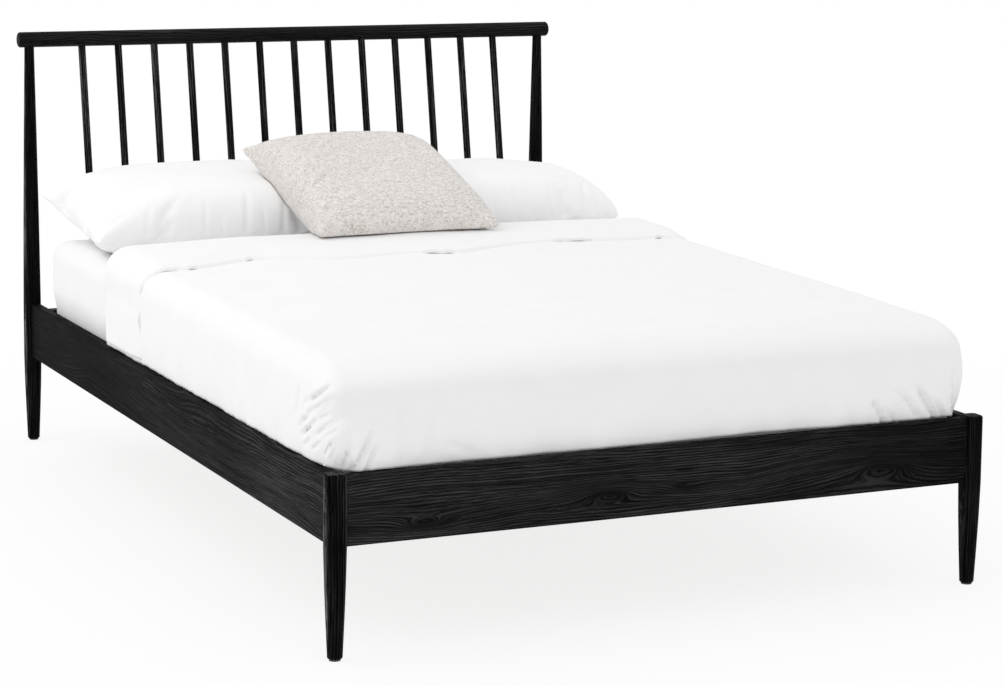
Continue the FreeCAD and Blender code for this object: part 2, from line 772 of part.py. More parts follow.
def stuffed_form(length, depth, top_crown, under_crown, grow=0.0):
    """Pillow or cushion in its own plane: pointed corners, sides drawn in between them, crowned faces."""
    def outline(share, draw, z):
        half_x, half_y = length / 2 * share + grow, depth / 2 * share + grow
        corners = [Vector(sx * half_x, sy * half_y, z) for sx, sy in ((-1, -1), (1, -1), (1, 1), (-1, 1))]
        middles = [Vector(0, draw - half_y, z), Vector(half_x - draw, 0, z),
                   Vector(0, half_y - draw, z), Vector(draw - half_x, 0, z)]
        return Part.Wire([Part.Arc(corners[side], middles[side], corners[(side + 1) % 4]).toShape()
                          for side in range(4)])

    def half(crown, sign):
        edge = seam_thickness / 2
        wires = [outline(share, side_draw * draw, sign * (edge + (crown - edge) * rise + grow))
                 for share, draw, rise in crown_curve]
        return Part.makeLoft(wires, True, False)

    edge = seam_thickness / 2 + grow
    rim = Part.Face(outline(1.0, side_draw, -edge)).extrude(Vector(0, 0, 2 * edge))
    return clean(rim.fuse([half(top_crown, 1), half(under_crown, -1)]))


def laid(shape, place):
    """Set a soft piece in place: tilted up towards the head, then turned on the bed."""
    across, from_posts, height, tilt, turn = place
    shape.rotate(Vector(0, 0, 0), X_AXIS, tilt)
    shape.rotate(Vector(0, 0, 0), Z_AXIS, turn)
    shape.translate(Vector(across, head_y - from_posts, mattress_top + height))
    return shape


def cushion(grow=0.0):
    """Square cushion leaning on the pillows, flattened where it sits on the duvet's band."""
    form = laid(stuffed_form(cushion_side, cushion_side, cushion_crown, cushion_crown, grow), cushion_place)
    under = block(-leg_x, leg_x, foot_y, duvet_head_y + cushion_side / 2, 0, duvet_band_top + rest_gap - grow)
    return clean(form.cut(under))


def pillow(place, side):
    """Pillow pressed on the mattress, beside the duvet and the other pillow, and under the cushion."""
    form = laid(stuffed_form(pillow_length, pillow_depth, pillow_top_crown, pillow_under_crown), place)
    reach = 2 * leg_x
    under = block(-reach, reach, foot_y, head_y, 0, mattress_top + rest_gap)
    band = block(-reach, reach, foot_y, duvet_head_y + soft_gap, 0, duvet_band_top + soft_gap)
    other = block(side * soft_gap / 2, -side * reach, foot_y, head_y, 0, top_rail_height)
    return clean(form.cut([under, band, other, cushion(soft_gap)]))


# ---- the assembly -------------------------------------------------------------------------------------

def paired(name, build):
    """Right and left copies of a piece that comes in two hands."""
    right = build()
    return {"right_" + name: right, "left_" + name: mirrored(right)}


def pieces():
    """Every node of the bed, by name."""
    made = {}
    made.update(paired("foot_leg", foot_leg))
    made.update(paired("head_post", head_post))
    made.update(paired("side_rail", side_rail))
    made.update(paired("slat_ledger", slat_ledger))
    made["foot_rail"] = foot_rail()
    made["head_rail"] = head_rail()
    made["top_rail"] = top_rail()
    for place, x in enumerate(spindle_places(), start=1):
        made["spindle_%02d" % place] = spindle_form(x, 0)
    for place, y in enumerate(slat_places(), start=1):
        made["slat_%02d" % place] = slat(y)
    made["centre_beam"] = centre_beam()
    made["foot_beam_hanger"] = beam_hanger(foot_rail_inner_y, 1)
    made["head_beam_hanger"] = beam_hanger(head_rail_front_y, -1)
    made["centre_leg"] = centre_leg()
    made["centre_leg_stud"] = centre_stud(0)
    made["foot_pads"] = foot_pads()
    made.update(paired("corner_bracket", corner_bracket))
    made.update(paired("head_angle", head_angle))
    bolts = [head_bolt(z) for z in head_bolt_heights()]
    made["head_bolts"] = Part.makeCompound(bolts + [mirrored(bolt) for bolt in bolts])
    nuts = [barrel_nut(z) for z in head_bolt_heights()]
    made["barrel_nuts"] = Part.makeCompound(nuts + [mirrored(nut) for nut in nuts])
    made["hanger_bolts"] = Part.makeCompound([hanger_bolt(0), mirrored(hanger_bolt(0))])
    made["hex_nuts"] = Part.makeCompound([hex_nut(), mirrored(hex_nut())])
    made["bracket_screws"] = bracket_screws()
    made["ledger_screws"] = ledger_screws()
    made["mattress"] = mattress()
    made["duvet"] = duvet()
    made["left_pillow"] = pillow(left_pillow_place, -1)
    made["right_pillow"] = pillow(right_pillow_place, 1)
    made["cushion"] = cushion()
    return made


os.makedirs("parts", exist_ok=True)
for name, shape in pieces().items():
    shape.exportStep("parts/" + name + ".step")
    box = shape.BoundBox
    print("%-18s solids %2d  valid %s  %7.1f x %7.1f x %6.1f  volume %.0f"
          % (name, len(shape.Solids), shape.isValid(), box.XLength, box.YLength, box.ZLength, shape.Volume))
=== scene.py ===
"""Spindle bed of black-stained ash with its mattress, duvet, two pillows and a woven cushion."""

import json
import math

import bpy
import numpy as np
from mathutils import Matrix, Vector, noise
from mathutils.bvhtree import BVHTree


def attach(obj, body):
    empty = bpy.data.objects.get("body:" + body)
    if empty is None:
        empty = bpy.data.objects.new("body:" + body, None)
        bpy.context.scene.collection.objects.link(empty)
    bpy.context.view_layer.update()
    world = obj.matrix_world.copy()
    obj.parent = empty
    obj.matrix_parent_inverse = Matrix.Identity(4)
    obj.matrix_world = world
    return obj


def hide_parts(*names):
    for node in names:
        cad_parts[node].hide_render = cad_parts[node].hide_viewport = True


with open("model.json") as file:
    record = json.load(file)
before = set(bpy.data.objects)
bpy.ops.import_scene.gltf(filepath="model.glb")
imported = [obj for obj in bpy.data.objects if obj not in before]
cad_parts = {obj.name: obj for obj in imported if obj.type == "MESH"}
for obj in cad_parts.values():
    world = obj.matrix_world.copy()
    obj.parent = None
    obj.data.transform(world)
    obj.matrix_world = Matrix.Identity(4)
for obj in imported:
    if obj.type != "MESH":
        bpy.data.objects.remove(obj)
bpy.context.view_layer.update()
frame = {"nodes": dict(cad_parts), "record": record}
bpy.ops.object.select_all(action="DESELECT")
scene = bpy.context.scene

# ---- where the bedding lies, in metres ------------------------------------------------------------------

rail_top = 0.348

mattress_base = 0.2863
mattress_top = 0.5243
mattress_half_width = 0.675
mattress_foot = -1.00065
mattress_head = 0.9124
mattress_roll = 0.038
mattress_bulge = 0.0085

duvet_foot = -1.01565
duvet_head = 0.392
duvet_half_width = 0.697
duvet_hem = 0.3486
# height of the duvet's top at the foot, and its rise to the head in metres per metre
duvet_low = 0.5423
duvet_slope = 0.01832
duvet_crown = 0.008
duvet_belly = 0.0035
duvet_roll = (0.050, 0.130, 0.054)
# half width, foot and top of its inside, and the radius that the inside turns over the mattress
duvet_inside = (0.6876, -1.0022, 0.5249)
duvet_inner_roll = 0.042
# the walls and the flat top are told apart at this distance across
wall_start = 0.5

band_head = 0.4034
band_top = 0.5908
band_roll = 0.05
# how far the band stands proud of the duvet, on top and on the walls
band_rise = 0.0155
band_wall_rise = 0.0042

pillow_size = (0.700, 0.480)
pillow_crowns = (0.104, 0.076)
cushion_size = (0.470, 0.470)
cushion_crowns = (0.072, 0.072)
# across, along, height, tilt up towards the head and turn on the bed, in degrees
left_pillow_place = (-0.348, 0.70915, 0.5983, 7.0, -1.5)
right_pillow_place = (0.328, 0.66415, 0.5883, 3.0, 2.0)
cushion_place = (-0.014, 0.46415, 0.6753, 18.5, 1.5)
# air between two pieces of bedding that touch
pillow_air = 0.0006
band_air = 0.0015
cushion_air = 0.0012

# further out than any piece, for a box that is open on one side
beyond = 9.0


# ---- camera ---------------------------------------------------------------------------------------------

camera_place = (-2.515, -5.679, 1.497)
camera_turn = (24.84, 7.31, 0.55)
picture_width = 1002
focal_length = 2781
lens_shift = -143
film_width = 36


def set_camera():
    """Camera at the left of the foot, its lens shifted so that the posts stand nearly upright."""
    bpy.ops.object.camera_add()
    camera = bpy.context.object
    camera.name = "camera"
    yaw, pitch, roll = (math.radians(a) for a in camera_turn)
    ahead = Vector((math.sin(yaw) * math.cos(pitch), math.cos(yaw) * math.cos(pitch), -math.sin(pitch)))
    level = Vector((math.cos(yaw), -math.sin(yaw), 0))
    upward = level.cross(ahead)
    right = math.cos(roll) * level + math.sin(roll) * upward
    up = math.cos(roll) * upward - math.sin(roll) * level
    turned = Matrix((right, up, -ahead)).transposed().to_4x4()
    camera.matrix_world = Matrix.Translation(camera_place) @ turned
    camera.data.sensor_width = film_width
    camera.data.lens = focal_length / picture_width * film_width
    camera.data.shift_y = lens_shift / picture_width
    camera.data.clip_end = 200
    scene.camera = camera


# ---- node helpers ---------------------------------------------------------------------------------------

def give(tree, socket, value):
    """Link a value that changes over the surface to a socket, or set a plain one on it."""
    if isinstance(value, bpy.types.NodeSocket):
        tree.links.new(value, socket)
    else:
        socket.default_value = value


def put(tree, kind, inputs=None, **settings):
    """Add a shader node and give its inputs."""
    made = tree.nodes.new("ShaderNode" + kind)
    for key, value in settings.items():
        setattr(made, key, value)
    for key, value in (inputs or {}).items():
        give(tree, made.inputs[key], value)
    return made


def reckon(tree, operation, first, second=0.0, third=0.0):
    """One step of arithmetic on values that change over the surface."""
    return put(tree, "Math", {0: first, 1: second, 2: third}, operation=operation).outputs[0]


def mapped(tree, value, low, high, to_low=0.0, to_high=1.0):
    """Stretch a value from one range to another and clamp it."""
    return put(tree, "MapRange", {"Value": value, "From Min": low, "From Max": high,
                                  "To Min": to_low, "To Max": to_high}).outputs[0]


def mixed_colour(tree, factor, first, second):
    """Blend two colours."""
    made = put(tree, "Mix", {0: factor}, data_type="RGBA")
    give(tree, made.inputs[6], first)
    give(tree, made.inputs[7], second)
    return made.outputs[2]


def noisy(tree, place, scale, detail=2.0, roughness=0.5, output="Fac"):
    """Smooth noise over a place."""
    return put(tree, "TexNoise", {"Vector": place, "Scale": scale, "Detail": detail,
                                  "Roughness": roughness}).outputs[output]


def new_group(name, inputs, outputs):
    """Empty shader node group with its named sockets."""
    group = bpy.data.node_groups.new(name, "ShaderNodeTree")
    for label, kind, value in inputs:
        socket = group.interface.new_socket(label, in_out="INPUT", socket_type="NodeSocket" + kind)
        if value is not None:
            socket.default_value = value
    for label, kind in outputs:
        group.interface.new_socket(label, in_out="OUTPUT", socket_type="NodeSocket" + kind)
    return group, group.nodes.new("NodeGroupInput").outputs, group.nodes.new("NodeGroupOutput").inputs


def use_group(tree, group, **inputs):
    """Place a node group and give its inputs."""
    made = tree.nodes.new("ShaderNodeGroup")
    made.node_tree = group
    for key, value in inputs.items():
        give(tree, made.inputs[key], value)
    return made.outputs


def new_material(name):
    """Material with a Principled shader, and the object's own coordinates."""
    material = bpy.data.materials.new(name)
    material.use_nodes = True
    tree = material.node_tree
    tree.nodes.clear()
    shader = put(tree, "BsdfPrincipled")
    put(tree, "OutputMaterial", {"Surface": shader.outputs[0]})
    place = put(tree, "TexCoord").outputs["Object"]
    return material, tree, shader, place


def finish_shader(tree, shader, colour, roughness, height, strength, distance):
    """Give a shader its colour, its roughness and the relief of its surface."""
    give(tree, shader.inputs["Base Color"], colour)
    give(tree, shader.inputs["Roughness"], roughness)
    bump = put(tree, "Bump", {"Height": height, "Strength": strength, "Distance": distance})
    give(tree, shader.inputs["Normal"], bump.outputs[0])


# ---- effects that several finishes use ------------------------------------------------------------------

def grain_group():
    """Open ash grain: long figure lines that wander, growth bands and fine pores along the board."""
    group, given, result = new_group(
        "open_grain",
        [("Along", "Float", 0.0), ("Across", "Float", 0.0), ("Through", "Float", 0.0),
         ("Figure", "Float", 1.0), ("Bite", "Float", 1.0), ("Dark", "Color", (0.01, 0.01, 0.01, 1)),
         ("Light", "Color", (0.03, 0.03, 0.03, 1))],
        [("Colour", "Color"), ("Roughness", "Float"), ("Height", "Float")])

    def stretched(along, across, through, side):
        """The board's coordinates, each stretched by its own number of features per metre."""
        return put(group, "CombineXYZ", {0: reckon(group, "MULTIPLY", given["Along"], along),
                                         1: reckon(group, "MULTIPLY", side, across),
                                         2: reckon(group, "MULTIPLY", given["Through"], through)}).outputs[0]

    wander = 0.085
    drift = noisy(group, stretched(2.2, 9, 9, given["Across"]), 1.0)
    swing = reckon(group, "MULTIPLY", reckon(group, "SUBTRACT", drift, 0.5), wander)
    swung = reckon(group, "ADD", given["Across"], reckon(group, "MULTIPLY", swing, given["Figure"]))
    patches = noisy(group, stretched(3.5, 16, 16, swung), 1.0)
    streaks = noisy(group, stretched(3.5, 330, 60, swung), 1.0, 4.0, 0.75)
    pores = noisy(group, stretched(16, 620, 200, swung), 1.0)
    rings = put(group, "TexWave", {"Vector": stretched(0.6, 1.0, 0.6, swung), "Scale": 58.0, "Distortion": 2.4,
                                   "Detail": 3.0, "Detail Scale": 1.6, "Detail Roughness": 0.65},
                bands_direction="Y").outputs["Fac"]
    lines = mapped(group, rings, 0.10, 0.62)
    brushed = mapped(group, streaks, 0.42, 0.60)
    pits = mapped(group, pores, 0.53, 0.62)
    tone = reckon(group, "MULTIPLY", reckon(group, "MULTIPLY_ADD", lines, 0.72, 0.28),
                  reckon(group, "MULTIPLY_ADD", brushed, 0.68, 0.32))
    tone = reckon(group, "MULTIPLY", tone, reckon(group, "SUBTRACT", 1.0, reckon(group, "MULTIPLY", pits, 0.7)))
    tone = reckon(group, "MULTIPLY", tone, mapped(group, patches, 0.3, 0.7, 0.55, 1.0))
    tone = reckon(group, "POWER", tone, given["Bite"])
    give(group, result["Colour"], mixed_colour(group, tone, given["Dark"], given["Light"]))
    give(group, result["Roughness"], mapped(group, tone, 0.0, 1.0, 0.62, 0.5))
    give(group, result["Height"], reckon(group, "SUBTRACT", reckon(group, "MULTIPLY", tone, 0.6), pits))
    return group


def cotton_group():
    """Plain weave of fine threads, with the slight unevenness of washed cotton, and a painted shade that
    darkens the cloth in the hollows of its creases.
    """
    group, given, result = new_group(
        "cotton_weave",
        [("Vector", "Vector", None), ("Threads", "Float", 2600.0)],
        [("Height", "Float"), ("Crease Shade", "Float")])
    parts = put(group, "SeparateXYZ", {0: given["Vector"]}).outputs
    threads = [reckon(group, "SINE", reckon(group, "MULTIPLY", parts[axis], given["Threads"]))
               for axis in range(3)]
    woven = reckon(group, "ADD", reckon(group, "ADD", threads[0], threads[1]), threads[2])
    slub = noisy(group, given["Vector"], 160.0, 3.0)
    creased = noisy(group, given["Vector"], 14.0, 4.0, 0.55)
    height = reckon(group, "ADD", reckon(group, "MULTIPLY", woven, 0.08), slub)
    give(group, result["Height"], reckon(group, "ADD", height, reckon(group, "MULTIPLY", creased, 2.0)))
    # painted shade: the tone is darker where the crease relief dips
    give(group, result["Crease Shade"], mapped(group, creased, 0.3, 0.7))
    return group


def boucle_group():
    """Looped and slubbed yarn in a loose weave: rows of rounded loops, with a painted shade darkening the gaps
    between them.
    """
    group, given, result = new_group(
        "looped_weave",
        [("Vector", "Vector", None), ("Loop", "Float", 260.0), ("Rows", "Float", 1250.0)],
        [("Height", "Float"), ("Gap Shade", "Float"), ("Yarn", "Float")])
    wander = noisy(group, given["Vector"], 60.0, 3.0, output="Color")
    scaled = put(group, "VectorMath", {0: wander, "Scale": 0.012}, operation="SCALE").outputs[0]
    shifted = put(group, "VectorMath", {0: given["Vector"], 1: scaled}, operation="ADD").outputs[0]
    drawn = put(group, "VectorMath", {0: shifted, 1: (0.6, 1.15, 1.0)}, operation="MULTIPLY").outputs[0]
    loops = put(group, "TexVoronoi", {"Vector": drawn, "Scale": given["Loop"], "Randomness": 0.75},
                feature="SMOOTH_F1").outputs["Distance"]
    row = reckon(group, "MULTIPLY", put(group, "SeparateXYZ", {0: shifted}).outputs[1], given["Rows"])
    rows = mapped(group, reckon(group, "SINE", row), -1.0, 1.0)
    fuzz = noisy(group, given["Vector"], 900.0)
    height = reckon(group, "SUBTRACT", reckon(group, "MULTIPLY", fuzz, 0.35), loops)
    give(group, result["Height"], reckon(group, "MULTIPLY_ADD", rows, 0.45, height))
    # painted shade: dark where the loops and the rows leave the relief low
    gap_shade = mapped(group, loops, 0.25, 0.75)
    give(group, result["Gap Shade"], reckon(group, "MULTIPLY", gap_shade, reckon(group, "MULTIPLY_ADD", rows, -0.6, 1.0)))
    tinted = noisy(group, given["Vector"], 190.0, 3.0, 0.7)
    give(group, result["Yarn"], mapped(group, tinted, 0.35, 0.65))
    return group


open_grain = grain_group()
cotton_weave = cotton_group()
looped_weave = boucle_group()


# ---- finishes -------------------------------------------------------------------------------------------

# along the board, height on it, half length, half height, and how far the knot pushes the grain aside
foot_rail_knots = (
    (-0.520, 0.243, 0.045, 0.011, 0.016), (-0.50, 0.240, 0.12, 0.030, 0.012),
    (-0.133, 0.262, 0.040, 0.011, -0.016), (-0.13, 0.266, 0.13, 0.030, -0.020),
    (0.031, 0.262, 0.050, 0.008, 0.006), (0.480, 0.262, 0.055, 0.016, -0.021),
    (0.44, 0.262, 0.17, 0.036, -0.030),
)
side_rail_knots = ((-0.30, 0.290, 0.40, 0.040, 0.025), (0.42, 0.262, 0.30, 0.035, -0.02))
# a knot flatter than this has a dark heart; a taller one is only a cathedral in the figure
knot_heart_height = 0.017

pore_black = (0.0009, 0.0009, 0.001, 1)
knot_black = (0.004, 0.004, 0.004, 1)


def stained(light):
    """Colour of the black stain at a depth of tone, a little warm."""
    return light, light * 0.985, light * 0.965, 1


def ash_material(name, along, light, figure, bite=1.0, gloss=0.3, tilt=0.0, edge_highlight=0.0, fade=None, knots=()):
    """Black-stained ash with its grain along one axis.

    light is the tone between the pores, figure how much the grain wanders, bite how dark the pores cut in,
    tilt the lean of the piece, edge_highlight the tone of a painted highlight on a round piece's grazing edges,
    fade the start, end and last tone of a painted shade that darkens a board along its length.
    """
    material, tree, shader, place = new_material(name)
    if tilt:
        place = put(tree, "Mapping", {"Vector": place, "Rotation": (math.radians(tilt), 0, 0)}).outputs[0]
    parts = put(tree, "SeparateXYZ", {0: place}).outputs
    run, level, through = (parts[axis] for axis in {"X": (0, 2, 1), "Y": (1, 2, 0), "Z": (2, 0, 1)}[along])
    across, heart = level, 0.0
    for at, height, half_long, half_tall, swell in knots:
        off_run = reckon(tree, "DIVIDE", reckon(tree, "SUBTRACT", run, at), half_long)
        off_level = reckon(tree, "DIVIDE", reckon(tree, "SUBTRACT", level, height), half_tall)
        far = reckon(tree, "ADD", reckon(tree, "MULTIPLY", off_run, off_run),
                     reckon(tree, "MULTIPLY", off_level, off_level))
        bulge = reckon(tree, "EXPONENT", reckon(tree, "MULTIPLY", far, -1.0))
        across = reckon(tree, "MULTIPLY_ADD", bulge, swell, across)
        if half_tall < knot_heart_height:
            heart = reckon(tree, "MAXIMUM", heart, bulge)
    tone = stained(light)
    # painted shade: the board's tone darkens from start to end along it, for the lesser light there
    if fade:
        start, end, shaded_tone = fade
        tone = mixed_colour(tree, mapped(tree, run, start, end), tone, stained(shaded_tone))
    if knots:
        tone = mixed_colour(tree, reckon(tree, "MULTIPLY", heart, 0.65), tone, knot_black)
    # painted highlight: the tone turns lighter towards the grazing edges of a round piece
    if edge_highlight:
        edge = put(tree, "LayerWeight", {"Blend": 0.35}).outputs["Facing"]
        tone = mixed_colour(tree, mapped(tree, edge, 0.15, 0.6), tone, (edge_highlight, edge_highlight, edge_highlight, 1))
    grain = use_group(tree, open_grain, Along=run, Across=across, Through=through, Figure=figure, Bite=bite,
                      Dark=pore_black, Light=tone)
    finish_shader(tree, shader, grain["Colour"], grain["Roughness"], grain["Height"], 0.4, 0.0006)
    shader.inputs["IOR"].default_value = 1.1
    shader.inputs["Specular IOR Level"].default_value = gloss
    return material


def pine_material():
    """Pale unfinished pine of the slats and the hidden timber."""
    material, tree, shader, place = new_material("plain_pine")
    parts = put(tree, "SeparateXYZ", {0: place}).outputs
    grain = use_group(tree, open_grain, Along=parts[0], Across=parts[1], Through=parts[2], Figure=1.4,
                      Dark=(0.42, 0.27, 0.14, 1), Light=(0.62, 0.46, 0.28, 1))
    finish_shader(tree, shader, grain["Colour"], 0.7, grain["Height"], 0.2, 0.0005)
    return material


def zinc_material():
    """Zinc-plated steel with a faint crystalline mottle."""
    material, tree, shader, place = new_material("zinc_plate")
    crystals = put(tree, "TexVoronoi", {"Vector": place, "Scale": 260.0}).outputs["Color"]
    mottle = put(tree, "SeparateColor", {0: crystals}).outputs[0]
    give(tree, shader.inputs["Base Color"],
         mixed_colour(tree, mottle, (0.52, 0.53, 0.55, 1), (0.66, 0.67, 0.68, 1)))
    give(tree, shader.inputs["Roughness"], mapped(tree, mottle, 0, 1, 0.28, 0.42))
    shader.inputs["Metallic"].default_value = 1.0
    return material


def felt_material():
    """Grey felt of the foot pads."""
    material, tree, shader, place = new_material("grey_felt")
    fibres = noisy(tree, place, 700.0, 4.0)
    colour = mixed_colour(tree, fibres, (0.05, 0.05, 0.05, 1), (0.16, 0.16, 0.16, 1))
    finish_shader(tree, shader, colour, 1.0, fibres, 0.6, 0.001)
    return material


def cotton_material(name, colour, shade):
    """Washed white cotton, darkened towards its shade colour in the hollows of its creases as a painted shade.
    """
    material, tree, shader, place = new_material(name)
    weave = use_group(tree, cotton_weave, Vector=place)
    finish_shader(tree, shader, mixed_colour(tree, weave["Crease Shade"], shade, colour), 0.85, weave["Height"],
                  0.25, 0.0012)
    shader.inputs["Specular IOR Level"].default_value = 0.2
    shader.inputs["Sheen Weight"].default_value = 0.08
    shader.inputs["Sheen Roughness"].default_value = 0.5
    return material


def boucle_material():
    """Oatmeal looped weave of the cushion, turned so that its rows run along the tilted face."""
    material, tree, shader, place = new_material("oatmeal_boucle")
    tilt = -math.radians(cushion_place[3])
    place = put(tree, "Mapping", {"Vector": place, "Rotation": (tilt, 0, 0)}).outputs[0]
    weave = use_group(tree, looped_weave, Vector=place)
    yarn = mixed_colour(tree, weave["Yarn"], (0.84, 0.795, 0.765, 1), (0.985, 0.96, 0.945, 1))
    # painted shade in the gaps between the loops
    colour = mixed_colour(tree, weave["Gap Shade"], yarn, (0.54, 0.49, 0.43, 1))
    finish_shader(tree, shader, colour, 0.95, weave["Height"], 0.8, 0.003)
    shader.inputs["Specular IOR Level"].default_value = 0.1
    shader.inputs["Sheen Weight"].default_value = 0.1
    return material


def finish_frame():
    """Give every CAD node of the frame its finish, by what is in its name."""
    across = ash_material("black_ash_across", "X", 0.028, 0.5, bite=1.3, gloss=1.25)
    # the uprights carry a painted highlight along their grazing edges
    upright = ash_material("black_ash_upright", "Z", 0.026, 0.3, bite=1.6, edge_highlight=0.16)
    pine = pine_material()
    zinc = zinc_material()
    finishes = (
        ("stud", zinc),
        ("spindle", ash_material("black_ash_spindle", "Z", 0.125, 0.2, bite=1.9, tilt=10.0)),
        # the foot rail darkens towards its right end and the side rail towards the head: painted shade
        ("foot_rail", ash_material("black_ash_foot_rail", "X", 0.062, 0.55, fade=(-0.1, 0.65, 0.026),
                                   knots=foot_rail_knots)),
        ("side_rail", ash_material("black_ash_lengthways", "Y", 0.072, 0.55, fade=(-0.9, 0.4, 0.010),
                                   knots=side_rail_knots)),
        ("head_rail", across), ("top_rail", across),
        ("foot_leg", upright), ("head_post", upright),
        ("slat", pine), ("centre", pine),
        ("foot_pads", felt_material()),
    )
    for name in frame["record"]["behaviour"]["bodies"]["frame"]:
        materials = frame["nodes"][name].data.materials
        materials.clear()
        materials.append(next((made for part, made in finishes if part in name), zinc))


# ---- modelling helpers ----------------------------------------------------------------------------------

def place_of(obj):
    """Coordinates of a mesh's points."""
    co = np.zeros(len(obj.data.vertices) * 3)
    obj.data.vertices.foreach_get("co", co)
    return co.reshape(-1, 3)


def set_place(obj, co):
    """Move a mesh's points."""
    obj.data.vertices.foreach_set("co", np.ascontiguousarray(co, dtype=np.float32).ravel())
    obj.data.update()


def outward(obj):
    """Unit normals of a mesh's points."""
    found = np.zeros(len(obj.data.vertices) * 3)
    obj.data.vertices.foreach_get("normal", found)
    return found.reshape(-1, 3)


def only(obj):
    """Make this the one selected and active object."""
    bpy.ops.object.select_all(action="DESELECT")
    obj.select_set(True)
    bpy.context.view_layer.objects.active = obj


def in_edit_mode(operator, **settings):
    """Run a mesh operator on all of the active piece."""
    bpy.ops.object.mode_set(mode="EDIT")
    bpy.ops.mesh.select_all(action="SELECT")
    operator(**settings)
    bpy.ops.object.mode_set(mode="OBJECT")


def apply_modifier(obj, kind, **settings):
    """Add a modifier to a piece and apply it."""
    only(obj)
    modifier = obj.modifiers.new(kind.lower(), kind)
    for key, value in settings.items():
        setattr(modifier, key, value)
    bpy.ops.object.modifier_apply(modifier=modifier.name)


def eased(value):
    """Smooth step from 0 to 1."""
    t = np.clip(value, 0, 1)
    return t * t * (3 - 2 * t)


def crowded(t, share):
    """Draw evenly spaced lines closer together towards 1."""
    return (1 - share) * t + share * np.sin(t * math.pi / 2)


def rolled(points, low, high, roll, square=2.0):
    """Round a box off over its inner box, by a roll along each axis, with squarer corners in plan."""
    inner = np.clip(points, low, high)
    off = points - inner
    share = np.abs(off) / np.asarray(roll)
    level = (share[:, 0] ** square + share[:, 1] ** square) ** (2 / square)
    reach = np.sqrt(level + share[:, 2] ** 2)
    return inner + off / np.where(reach > 1e-9, reach, 1)[:, None]


def away_from(points, low, high):
    """Unit direction from an inner box out to each point."""
    away = points - np.clip(points, low, high)
    size = np.linalg.norm(away, axis=1)
    return away / np.where(size > 1e-9, size, 1)[:, None]


def ripple(co, scale, seed):
    """Smooth height between -1 and 1 at each point, of its own kind for each seed."""
    shift = Vector((seed * 7.31, seed * 3.17, seed * 5.91))
    scaled = co * np.array(scale)
    return np.array([noise.fractal(Vector(p) + shift, 1.0, 2.0, 2) for p in scaled])


def fold_depth(across, up, folds):
    """Total depth of folds, each a groove between two ridges, on a face with two coordinates."""
    total = np.zeros(len(across))
    for a0, u0, a1, u1, width, depth in folds:
        run = np.array([a1 - a0, u1 - u0])
        length = np.hypot(*run)
        run = run / length
        along = (across - a0) * run[0] + (up - u0) * run[1]
        aside = (up - u0) * run[0] - (across - a0) * run[1]
        within = eased(along / (0.25 * length) + 0.4) * eased((length - along) / (0.45 * length) + 0.25)
        groove = 1.25 * np.exp(-(aside / width) ** 2) - 0.45 * np.exp(-(aside / (2.6 * width)) ** 2)
        total += depth * groove * within
    return total


def finish_soft(obj, name, body, slot, material, fill, *nodes):
    """Name a padded piece, smooth it, and put it on its body in place of its CAD node."""
    obj.name = obj.data.name = name
    only(obj)
    bpy.ops.object.shade_smooth()
    obj.data.materials.clear()
    obj.data.materials.append(material)
    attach(obj, body)
    if nodes:
        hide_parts(*nodes)


# ---- mattress -------------------------------------------------------------------------------------------

def make_mattress(cotton):
    """Sprung mattress in its fitted sheet: rolled edges, slightly bulged sides, and soft ripples on the top and
    the sides.
    """
    low = np.array((-mattress_half_width, mattress_foot, mattress_base))
    high = np.array((mattress_half_width, mattress_head, mattress_top))
    centre = (low + high) / 2
    half = (high - low) / 2
    bpy.ops.mesh.primitive_cube_add(size=2, location=(0, 0, 0))
    obj = bpy.context.object
    in_edit_mode(bpy.ops.mesh.subdivide, number_cuts=70)
    unit = place_of(obj)
    co = np.sign(unit) * crowded(np.abs(unit), 0.85) * half + centre
    co = rolled(co, low + mattress_roll, high - mattress_roll, (mattress_roll,) * 3, 2.6)
    bulged = eased((co[:, 2] - rail_top) / 0.06) * eased((mattress_top - co[:, 2]) / 0.05)
    co[:, 0] *= 1 + mattress_bulge * bulged / mattress_half_width
    on_top = eased((co[:, 2] - 0.515) / 0.008)
    co[:, 2] -= on_top * 0.0012 * (1 + ripple(co, (5, 5, 5), 1))
    on_side = eased((mattress_top - 0.02 - co[:, 2]) / 0.03) * (np.abs(co[:, 0]) > 0.6)
    co[:, 0] -= np.sign(co[:, 0]) * on_side * 0.0012 * (1 + ripple(co, (14, 14, 3), 2))
    set_place(obj, co)
    finish_soft(obj, "mattress_in_sheet", "mattress", "sheet", cotton, 1.0, "mattress")


# ---- duvet ----------------------------------------------------------------------------------------------

